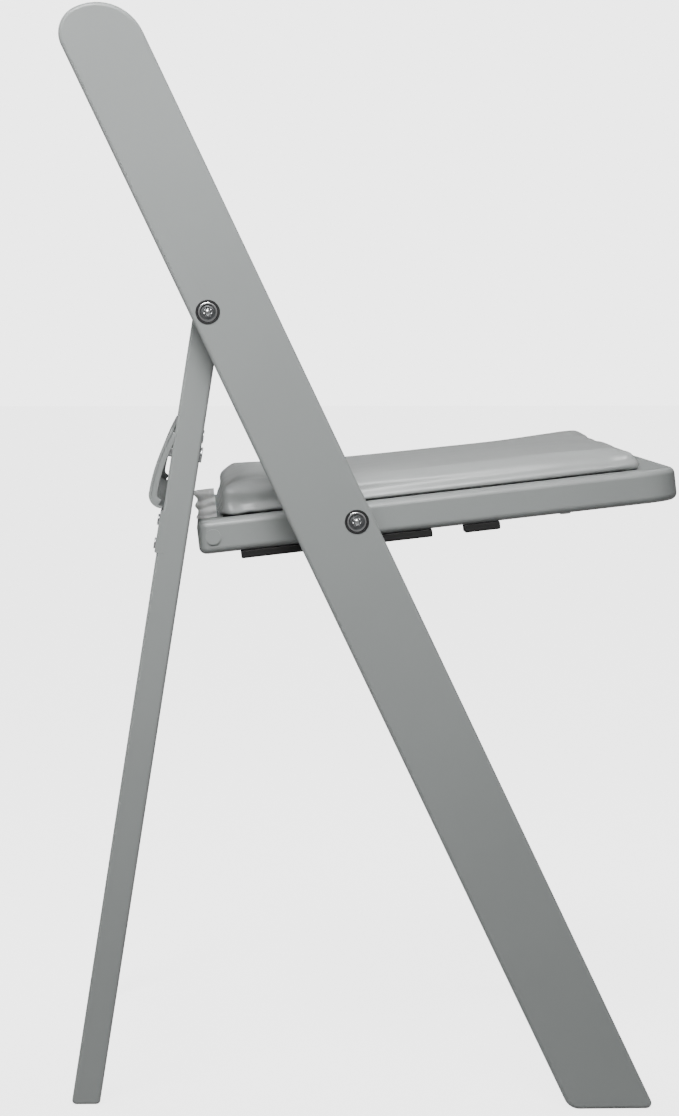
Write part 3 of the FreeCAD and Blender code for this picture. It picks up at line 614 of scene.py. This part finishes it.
@dataclass
class CurvedPanel:
    """Curved sheet behind the rear legs, with a turned-in lip at each end."""

    wardrobe: Wardrobe
    place: TiltedFrame
    lip_deep: float = 0.0062
    lip_wide: float = 0.010
    gap: float = 0.003
    edge: float = 0.0007
    inset: float = 0.0006

    def outline(self) -> list[Vector]:
        """Outer line of the sheet's section, from its top down, in the rear leg's frame.

        Returns:
            Points in the plane across the chair's width.
        """
        back = self.place.matrix.inverted()
        vertices = frame["nodes"]["rear_curved_panel"].data.vertices
        spots = sorted((back @ v.co for v in vertices), key=lambda spot: -spot.z)
        line: list[Vector] = []
        for spot in (Vector((0.0, s.y, s.z)) for s in spots):
            while len(line) > 1 and self.turn(line[-2], line[-1], spot) >= -1e-10:
                line.pop()
            line.append(spot)
        spaced = [line[0]]
        for spot in line[1:]:
            if (spot - spaced[-1]).length > self.gap:
                spaced.append(spot)
        return spaced

    @staticmethod
    def turn(first: Vector, second: Vector, third: Vector) -> float:
        """How far three points turn, negative where the line bulges rearwards."""
        before, after = second - first, third - second
        return before.y * after.z - before.z * after.y

    def lip(self, side: Side) -> bpy.types.Object:
        """One lip, extruded along the outline with its inner edge turned towards the leg.

        Args:
            side: the side of the chair.

        Returns:
            The new piece.
        """
        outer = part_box("rear_curved_panel")[1].x - self.inset
        line = self.outline()
        inward = []
        for index in range(len(line)):
            ahead = line[min(index + 1, len(line) - 1)] - line[max(index - 1, 0)]
            inward.append(Vector((0.0, ahead.z, -ahead.y)).normalized())
        deselect()
        centre = side.value * (outer - self.lip_wide / 2)
        bpy.ops.mesh.primitive_plane_add(size=self.lip_wide, location=(centre, 0.0, 0.0))
        piece = bpy.context.active_object
        settle(piece)
        outside = [vertex.co.y > 0 for vertex in piece.data.vertices]
        edit(piece, "VERT")
        bpy.ops.mesh.select_all(action="SELECT")
        for index, (spot, way) in enumerate(zip(line, inward)):
            if index:
                bpy.ops.mesh.extrude_region_move()
            bpy.ops.object.mode_set(mode="OBJECT")
            picked = [vertex for vertex in piece.data.vertices if vertex.select]
            if index:
                before = line[index - 1]
                outside = [math.hypot(v.co.y - before.y, v.co.z - before.z) < 1e-5 for v in picked]
            for vertex, is_outside in zip(picked, outside):
                target = spot if is_outside else spot + way * self.lip_deep
                vertex.co.y, vertex.co.z = target.y, target.z
            bpy.ops.object.mode_set(mode="EDIT")
        bpy.ops.mesh.select_all(action="SELECT")
        bpy.ops.mesh.normals_make_consistent(inside=False)
        deselect()
        soften(piece, self.edge, 3, 50.0)
        piece.data.transform(self.place.matrix)
        return piece

    def build(self, parts: MouldedParts) -> None:
        """Make and dress the panel.

        Args:
            parts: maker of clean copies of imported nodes.
        """
        pieces = [parts.refined("rear_curved_panel")] + [self.lip(side) for side in Side]
        panel = join(pieces, "curved_panel_with_lips")
        smooth(panel, 40.0)
        finish_piece(panel, ["rear_curved_panel"], Slot.SHEET, self.wardrobe)


@dataclass
class PivotBolts:
    """Button-head pivot bolts with a lobed socket."""

    wardrobe: Wardrobe
    segments: int = 48
    rim: float = 0.0016
    dish: float = 0.0012
    socket_radius: float = 0.0036
    socket_depth: float = 0.0010
    lobe_radius: float = 0.0012
    dome_radius: float = 0.0027
    edge: float = 0.0009
    head_tall: float = 0.003
    shank: float = 0.004
    dish_wall: float = 0.0004
    socket_lip: float = 0.0003
    socket_wall: float = 0.0002
    lobes: int = 6
    # Darker finish of the dish: painted shade in the head's recess.
    dark: bpy.types.Material = field(init=False)

    def __post_init__(self) -> None:
        """Make the darker finish of the dish, which paints shade into the head's recess."""
        self.dark = Finish(
            "dark_steel_painted_dish_shade", (0.15, 0.155, 0.16), rough=(0.3, 0.5), metallic=0.8, grain_scale=1500.0,
            cloud_scale=260.0, shift=0.5, bump=0.15,
        ).make(self.wardrobe.groups)

    def bolt(self, low: Vector, high: Vector, side: Side) -> bpy.types.Object:
        """One bolt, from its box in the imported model.

        Args:
            low: lowest corner of the bolt's box.
            high: highest corner of the bolt's box.
            side: the side whose outer face holds the head.

        Returns:
            The bolt, joined.
        """
        middle = (low + high) / 2
        radius = (high.y - low.y) / 2
        outer = high.x if side is Side.LEFT else low.x
        inner = low.x if side is Side.LEFT else high.x
        sign = side.value
        turn = (0.0, math.pi / 2, 0.0)
        head_middle = (outer - sign * self.head_tall / 2, middle.y, middle.z)
        deselect()
        bpy.ops.mesh.primitive_cylinder_add(
            vertices=self.segments, radius=radius, depth=self.head_tall, location=head_middle, rotation=turn
        )
        head = bpy.context.active_object
        settle(head)

        def outer_face(face: bpy.types.MeshPolygon) -> bool:
            """True for a face on the outer end of the head."""
            return face.normal.x * sign > 0.9 and abs(face.center.x - outer) < 1e-4

        pick_faces(head, outer_face)
        bpy.ops.mesh.bevel(offset=self.edge, segments=3, affect="EDGES")
        pick_faces(head, lambda f: outer_face(f) and f.area > 1e-5)
        bpy.ops.mesh.inset(thickness=self.rim - self.edge, depth=0.0)
        bpy.ops.mesh.inset(thickness=self.dish_wall, depth=-self.dish)
        room = radius - self.rim - self.dish_wall - self.socket_radius
        bpy.ops.mesh.inset(thickness=room, depth=self.socket_lip)
        bpy.ops.mesh.inset(thickness=self.socket_wall, depth=-self.socket_depth)
        parts = [head]
        floor = outer - sign * (self.dish + self.socket_depth)
        deselect()
        bpy.ops.mesh.primitive_uv_sphere_add(
            segments=24, ring_count=12, radius=self.dome_radius, location=(floor, middle.y, middle.z)
        )
        parts.append(bpy.context.active_object)
        for index in range(self.lobes):
            angle = math.radians(360 / self.lobes * index + 30)
            reach = self.socket_radius - self.lobe_radius * 0.6
            spot = (floor, middle.y + reach * math.cos(angle), middle.z + reach * math.sin(angle))
            deselect()
            bpy.ops.mesh.primitive_uv_sphere_add(
                segments=12, ring_count=8, radius=self.lobe_radius, location=spot
            )
            parts.append(bpy.context.active_object)
        length = abs(outer - inner) - self.head_tall
        deselect()
        bpy.ops.mesh.primitive_cylinder_add(
            vertices=self.segments, radius=self.shank, depth=length,
            location=(inner + sign * length / 2, middle.y, middle.z), rotation=turn,
        )
        shaft = bpy.context.active_object
        settle(shaft)
        pick_faces(shaft, lambda f: abs(f.normal.x) > 0.9)
        bpy.ops.mesh.bevel(offset=self.edge, segments=2, affect="EDGES")
        parts.append(shaft)
        for part in parts:
            settle(part)
        whole = join(parts, "bolt")
        smooth(whole, 40.0)
        self.paint_dish_shade(whole, middle, outer, radius)
        return whole

    def paint_dish_shade(self, whole: bpy.types.Object, middle: Vector, outer: float, radius: float) -> None:
        """Paint shade into the dished recess of the head with a darker finish.

        Args:
            whole: the joined bolt.
            middle: a point on the bolt's axis.
            outer: place of the head's face along X.
            radius: radius of the head.
        """
        whole.data.materials.clear()
        whole.data.materials.append(self.wardrobe.materials[Slot.STEEL])
        whole.data.materials.append(self.dark)
        # Faces inside the dished recess get the darker finish, as painted shade.
        for face in whole.data.polygons:
            away = math.hypot(face.center.y - middle.y, face.center.z - middle.z)
            deep = abs(outer - face.center.x) > self.socket_lip
            shown = abs(outer - face.center.x) < self.head_tall - 0.0001
            dished = self.dome_radius + self.socket_wall < away < radius - self.rim
            face.material_index = int(dished and deep and shown)

    def build(self) -> None:
        """Make both pairs of bolts."""
        for node in ("upper_pivot_bolts", "seat_pivot_bolts"):
            low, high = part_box(node)
            pair = []
            for side in Side:
                corner_low, corner_high = low.copy(), high.copy()
                inner = min(abs(v.co.x) for v in frame["nodes"][node].data.vertices)
                if side is Side.LEFT:
                    corner_low.x = inner
                else:
                    corner_high.x = -inner
                pair.append(self.bolt(corner_low, corner_high, side))
            piece = join(pair, f"{node}_turned")
            stand_for(piece, [node])


@dataclass
class Screws:
    """Small screws, softened at their edges."""

    wardrobe: Wardrobe
    nodes: tuple[str, ...] = (
        "runner_screws", "board_screws", "rear_panel_screws", "rear_cross_rail_screws",
    )
    edge: float = 0.0004

    def build(self, parts: MouldedParts) -> None:
        """Make and dress the screws.

        Args:
            parts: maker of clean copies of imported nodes.
        """
        for node in self.nodes:
            piece = parts.refined(node)
            soften(piece, self.edge, 2)
            smooth(piece, 35.0)
            finish_piece(piece, [node], Slot.STEEL, self.wardrobe)


@dataclass
class UnderSeat:
    """Rubber runners and blocks, and the board under the cushion."""

    wardrobe: Wardrobe
    soft_edge: float = 0.0012
    board_edge: float = 0.0005

    def build(self, parts: MouldedParts) -> None:
        """Make and dress the pieces under the seat.

        Args:
            parts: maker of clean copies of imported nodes.
        """
        # The seat base board gets the near-black finish, which is painted shade under the cushion's edge.
        table = (("seat_runners", Slot.RUBBER, self.soft_edge), ("seat_blocks", Slot.RUBBER, self.soft_edge),
                 ("seat_base_board", Slot.BOARD, self.board_edge))
        for node, slot, width in table:
            piece = parts.refined(node)
            soften(piece, width, 3)
            smooth(piece, 35.0)
            finish_piece(piece, [node], slot, self.wardrobe)
        dowels = ("back_slat_dowels", "front_stretcher_dowels", "rear_stretcher_dowels")
        for node in dowels:
            self.wardrobe.dress(frame["nodes"][node], Slot.PLY)


def hill(value: float, centre: float, width: float) -> float:
    """Smooth hill of height 1 at its centre."""
    return math.exp(-((value - centre) / width) ** 2)


@dataclass
class Cushion:
    """Vinyl pad: crowned, softly rolled at its sides and pleated at its rear end."""

    wardrobe: Wardrobe
    place: TiltedFrame
    shrink: float = 0.0018
    lift: float = 0.0003
    plan_corner: float = 0.009
    top_round: float = 0.006
    low_round: float = 0.0015
    voxel: float = 0.0036
    pressure: float = 4.0
    frames: int = 20
    cap: float = 0.0032
    rear_rise: float = 0.011
    front_drop: float = 0.003
    edge_drop: float = 0.002
    pull_in: float = 0.0030
    low_roll: float = 0.0013
    high_roll: float = 0.0012
    pleat: float = 0.0026
    fan_fold: float = 0.0019
    sag_fold: float = 0.0013
    tuck: float = 0.0022
    crease: float = 0.0022
    swell: float = 0.0016
    ripple: float = 0.0005
    corner_rise: float = 0.0050
    front_dip: float = 0.0020
    low: Vector = field(init=False)
    high: Vector = field(init=False)

    def __post_init__(self) -> None:
        """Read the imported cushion's box in the seat's own frame."""
        self.low, self.high = self.place.extent("seat_cushion")

    def blank(self) -> bpy.types.Object:
        """Rounded slab that the pad is blown up from, in the seat's own frame."""
        centre = (self.low + self.high) / 2
        wide = self.high - self.low
        deselect()
        centre.z += (self.lift - self.shrink) / 2
        bpy.ops.mesh.primitive_cube_add(size=1.0, location=centre)
        slab = bpy.context.active_object
        slab.scale = (
            wide.x - 2 * self.shrink, wide.y - 2 * self.shrink, wide.z - self.shrink - self.lift,
        )
        settle(slab)
        edit(slab, "EDGE")
        bpy.ops.object.mode_set(mode="OBJECT")
        for line in slab.data.edges:
            first, second = (slab.data.vertices[i].co for i in line.vertices)
            line.select = abs(first.z - second.z) > 0.01
        bpy.ops.object.mode_set(mode="EDIT")
        bpy.ops.mesh.bevel(offset=self.plan_corner, segments=6, affect="EDGES")
        pick_faces(slab, lambda face: face.normal.z > 0.9)
        bpy.ops.mesh.bevel(offset=self.top_round, segments=4, affect="EDGES")
        pick_faces(slab, lambda face: face.normal.z < -0.9)
        bpy.ops.mesh.bevel(offset=self.low_round, segments=2, affect="EDGES")
        deselect()
        remesh = slab.modifiers.new("skin", "REMESH")
        remesh.mode = "VOXEL"
        remesh.voxel_size = self.voxel
        apply_all(slab)
        return slab

    def crown(self, pad: bpy.types.Object) -> None:
        """Thin the front edge and lift the rear, as the filling lies."""
        length = self.high.y - self.low.y
        for vertex in pad.data.vertices:
            spot = vertex.co
            along = (spot.y - self.low.y) / length
            height = (spot.z - self.low.z) / (self.high.z - self.low.z)
            across = abs(spot.x) / self.high.x
            dome = (1 - across ** 4) * (1 - abs(2 * along - 1) ** 4)
            lift = self.rear_rise * max(0.0, (along - 0.72) / 0.28) ** 1.5 * (1 - 0.35 * across ** 2)
            lift -= self.front_drop * (1 - dome) * max(0.0, 1 - along * 1.15)
            lift -= self.edge_drop * (1 - dome)
            spot.z += height * lift

    def blow_up(self, pad: bpy.types.Object) -> None:
        """Inflate the pad as cloth, with its underside held down, and cap how far it moves."""
        start = [vertex.co.copy() for vertex in pad.data.vertices]
        held = pad.vertex_groups.new(name="held")
        under = [v.index for v in pad.data.vertices if v.co.z < self.low.z + self.lift + 0.0022]
        held.add(under, 1.0, "REPLACE")
        cloth = pad.modifiers.new("cloth", "CLOTH")
        cloth.settings.use_pressure = True
        cloth.settings.uniform_pressure_force = self.pressure
        cloth.settings.effector_weights.gravity = 0.0
        cloth.settings.vertex_group_mass = held.name
        cloth.settings.quality = 6
        cloth.point_cache.frame_start = 1
        cloth.point_cache.frame_end = self.frames
        for number in range(1, self.frames + 1):
            bpy.context.scene.frame_set(number)
        apply_all(pad)
        bpy.context.scene.frame_set(1)
        for vertex, before in zip(pad.data.vertices, start):
            moved = vertex.co - before
            if moved.length > self.cap:
                vertex.co = before + moved.normalized() * self.cap

    def wrinkle(self, pad: bpy.types.Object) -> None:
        """Roll the sides and press in the pleats, creases and slow unevenness."""
        depth = self.high.z - self.low.z
        normals = [vertex.normal.copy() for vertex in pad.data.vertices]
        for vertex, normal in zip(pad.data.vertices, normals):
            spot = vertex.co
            height = (spot.z - self.low.z) / depth
            from_rear = self.high.y - spot.y
            from_front = spot.y - self.low.y
            from_side = self.high.x - abs(spot.x)
            on_side = max(0.0, 1 - from_side / 0.012)
            on_rear = max(0.0, 1 - from_rear / 0.014)
            on_front = max(0.0, 1 - from_front / 0.014)
            skirt = max(on_side, on_rear, on_front)
            pulled = max(on_side * (1 - 0.8 * on_rear), 0.2 * on_rear, 0.6 * on_front)
            push = -self.pull_in * pulled * hill(height, 0.46, 0.14)
            push += self.low_roll * skirt * hill(height, 0.16, 0.12)
            push += self.high_roll * skirt * hill(height, 0.80, 0.12)
            near_rear = math.exp(-from_rear / 0.040)
            wave = math.sin(spot.x * 260 + 3.0 * noise.noise(spot * 30))
            push += self.pleat * on_rear * wave * (1.25 - height)
            fan = math.sin(from_rear * 480 + 6.0 * height + 3.0 * noise.noise(spot * 35))
            push += self.fan_fold * on_side * near_rear * fan * hill(height, 0.0, 0.38)
            sag = height - 0.60 + 0.10 * noise.noise(Vector((spot.x * 9, spot.y * 9, 1.7)))
            push -= self.sag_fold * on_side * hill(sag, 0.0, 0.07)
            tuck = height - 0.30 - from_rear * 1.1
            fade = math.exp(-from_rear / 0.075)
            push -= self.tuck * on_side * (1 - 0.6 * on_rear) * hill(tuck, 0.0, 0.08) * fade
            line = height - (0.62 - from_rear * 6.0)
            crease = hill(line, 0.0, 0.09) * math.exp(-from_rear / 0.030)
            push -= self.crease * on_side * (1 - 0.7 * on_rear) * crease
            level = Vector((spot.x * 16, spot.y * 7, spot.z * 20))
            push += self.swell * noise.noise(level) * min(1.0, height * 1.4)
            ripple = Vector((spot.x * 45, spot.y * 14, 0.3))
            push += self.ripple * noise.noise(ripple) * min(1.0, height)
            far_corner = math.exp(-((spot.x - self.high.x + 0.04) / 0.05) ** 2 - (from_front / 0.05) ** 2)
            push += self.corner_rise * far_corner * height
            dip = math.exp(-(spot.x / 0.06) ** 2 - (from_front / 0.035) ** 2)
            push -= self.front_dip * dip * height
            vertex.co = spot + normal * push
            vertex.co.z = max(vertex.co.z, self.low.z)

    def build(self) -> None:
        """Make, inflate, wrinkle and dress the cushion."""
        pad = self.blank()
        pad.name = "padded_seat_cushion"
        self.crown(pad)
        self.blow_up(pad)
        self.wrinkle(pad)
        fine = pad.modifiers.new("fine", "SUBSURF")
        fine.levels = 1
        fine.render_levels = 1
        apply_all(pad)
        pad.data.transform(self.place.matrix)
        smooth(pad, 180.0)
        finish_piece(pad, ["seat_cushion"], Slot.VINYL, self.wardrobe)


@dataclass
class BlankTag:
    """Small crumpled white tag with nothing on it."""

    wardrobe: Wardrobe
    place: TiltedFrame
    cuts: int = 22
    thick: float = 0.0003
    fold_deep: float = 0.0011
    crumple: float = 0.004
    curl: float = 0.0012
    taper: float = 0.0010

    def build(self) -> None:
        """Make and dress the tag."""
        low, high = self.place.extent("blank_tag")
        centre = (low + high) / 2
        wide, tall = high.y - low.y, high.z - low.z
        deselect()
        bpy.ops.mesh.primitive_grid_add(
            x_subdivisions=self.cuts, y_subdivisions=self.cuts, size=1.0,
            location=centre, rotation=(0.0, math.pi / 2, 0.0),
        )
        tag = bpy.context.active_object
        tag.name = "blank_crumpled_tag"
        tag.scale = (tall, wide, 1.0)
        settle(tag)
        for vertex in tag.data.vertices:
            spot = vertex.co.copy()
            up = (spot.z - low.z) / tall
            back = (spot.y - low.y) / wide
            fold = math.sin(up * 21 + 2.0 * noise.noise(spot * 140))
            vertex.co.x += self.fold_deep * fold + self.crumple * noise.noise(spot * 90)
            vertex.co.y += self.curl * math.sin(up * 15 + 1.0) * back - self.taper * back
        shell = tag.modifiers.new("shell", "SOLIDIFY")
        shell.thickness = self.thick
        shell.offset = 0.0
        fine = tag.modifiers.new("fine", "SUBSURF")
        fine.levels = 1
        fine.render_levels = 1
        apply_all(tag)
        tag.data.transform(self.place.matrix)
        smooth(tag, 60.0)
        finish_piece(tag, ["blank_tag"], Slot.FILM, self.wardrobe)


@dataclass(frozen=True)
class SoftBox:
    """One area light."""

    name: str
    spot: tuple[float, float, float]
    aim: tuple[float, float, float]
    width: float
    power: float
    spread: float = 180.0

    def hang(self) -> None:
        """Add the light to the scene."""
        data = bpy.data.lights.new(self.name, "AREA")
        data.size = self.width
        data.energy = self.power
        data.spread = math.radians(self.spread)
        lamp = bpy.data.objects.new(self.name, data)
        lamp.location = self.spot
        turn = (Vector(self.aim) - Vector(self.spot)).to_track_quat("-Z", "Y")
        lamp.rotation_euler = turn.to_euler()
        bpy.context.scene.collection.objects.link(lamp)


@dataclass
class Studio:
    """Pale floor, soft lights and the camera."""

    stand: Vector = field(default_factory=lambda: Vector((-2.525, 0.1146, 0.5602)))
    aim: Vector = field(default_factory=lambda: Vector((-0.225, 0.0261, 0.3959)))
    lens: float = 105.7
    backdrop: float = 3.8
    floor_glow: float = 3.3
    base_sky: float = 0.08
    near_sky: float = 0.17
    high_sky: float = 0.38
    top_power: float = 5.6
    top_spread: float = 54.0
    fill_power: float = 12.0
    floor_grey: float = 0.42

    def camera(self) -> None:
        """Set the camera at its viewpoint."""
        data = bpy.data.cameras.new("camera")
        data.lens = self.lens
        data.sensor_width = 36.0
        data.sensor_fit = "AUTO"
        viewer = bpy.data.objects.new("camera", data)
        viewer.location = self.stand
        viewer.rotation_euler = (self.aim - self.stand).to_track_quat("-Z", "Y").to_euler()
        bpy.context.scene.collection.objects.link(viewer)
        bpy.context.scene.camera = viewer

    def floor(self) -> None:
        """Wide pale floor."""
        deselect()
        bpy.ops.mesh.primitive_plane_add(size=40.0, location=(0.0, 0.0, -0.0006))
        ground = bpy.context.active_object
        ground.name = "studio_floor"
        material, shader, surface = new_material("pale_floor")
        surface.inputs["Base Color"].default_value = (self.floor_grey,) * 3 + (1.0,)
        surface.inputs["Roughness"].default_value = 0.95
        surface.inputs["Specular IOR Level"].default_value = 0.05
        glow = shader.add("ShaderNodeEmission", Color=(1.0, 1.0, 1.0, 1.0))
        seen = shader.add("ShaderNodeLightPath")
        strength = shader.maths("MULTIPLY", seen.outputs["Is Camera Ray"], self.floor_glow)
        shader.link(strength, glow.inputs["Strength"])
        both = shader.add("ShaderNodeAddShader")
        shader.link(surface.outputs["BSDF"], both.inputs[0])
        shader.link(glow.outputs["Emission"], both.inputs[1])
        shader.link(both.outputs["Shader"], material.node_tree.nodes["Material Output"].inputs["Surface"])
        ground.data.materials.append(material)

    def lights(self) -> None:
        """White surroundings and soft boxes above and at the sides."""
        world = bpy.data.worlds.new("white_room")
        world.use_nodes = True
        shader = Shader(world.node_tree)
        sky = world.node_tree.nodes["Background"]
        sky.inputs["Color"].default_value = (1.0, 1.0, 1.0, 1.0)
        way = shader.add("ShaderNodeTexCoord")
        parts = shader.add("ShaderNodeSeparateXYZ")
        shader.link(way.outputs["Generated"], parts.inputs["Vector"])
        near = shader.maths("MAXIMUM", shader.maths("MULTIPLY", parts.outputs["X"], -self.near_sky), 0.0)
        above = shader.maths("MAXIMUM", shader.maths("MULTIPLY", parts.outputs["Z"], self.high_sky), 0.0)
        soft = shader.maths("ADD", shader.maths("ADD", near, above), self.base_sky)
        seen = shader.add("ShaderNodeLightPath")
        pick = shader.add("ShaderNodeMix", data_type="FLOAT")
        pick.inputs["B"].default_value = self.backdrop
        shader.link(seen.outputs["Is Camera Ray"], pick.inputs["Factor"])
        shader.link(soft, pick.inputs["A"])
        shader.link(pick.outputs["Result"], sky.inputs["Strength"])
        bpy.context.scene.world = world
        boxes = (
            SoftBox("top_box", (-1.0, 0.35, 1.6), (-0.2, 0.16, 0.80), 0.8, self.top_power, self.top_spread),
            SoftBox("high_fill", (0.5, -1.1, 2.1), (0.0, 0.0, 0.4), 1.5, self.fill_power),
            SoftBox("rear_fill", (1.2, 1.8, 1.5), (0.0, 0.0, 0.4), 1.5, self.fill_power),
        )
        for box in boxes:
            box.hang()

    def build(self) -> None:
        """Make the studio."""
        self.camera()
        self.floor()
        self.lights()


def main() -> None:
    """Build the chair's looks in order."""
    logging.basicConfig(level=logging.INFO, format="%(name)s %(message)s")
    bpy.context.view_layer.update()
    Studio().build()
    wardrobe = Wardrobe()
    parts = MouldedParts(wardrobe)
    parts.build()
    CurvedPanel(wardrobe, TiltedFrame(joint_spot("rear_leg_fold"), LEG_TILT)).build(parts)
    PivotBolts(wardrobe).build()
    Screws(wardrobe).build(parts)
    UnderSeat(wardrobe).build(parts)
    seat_plane = TiltedFrame(joint_spot("seat_fold"), SEAT_TILT)
    Cushion(wardrobe, seat_plane).build()
    BlankTag(wardrobe, seat_plane).build()
    deselect()


if __name__ == "__main__":
    main()
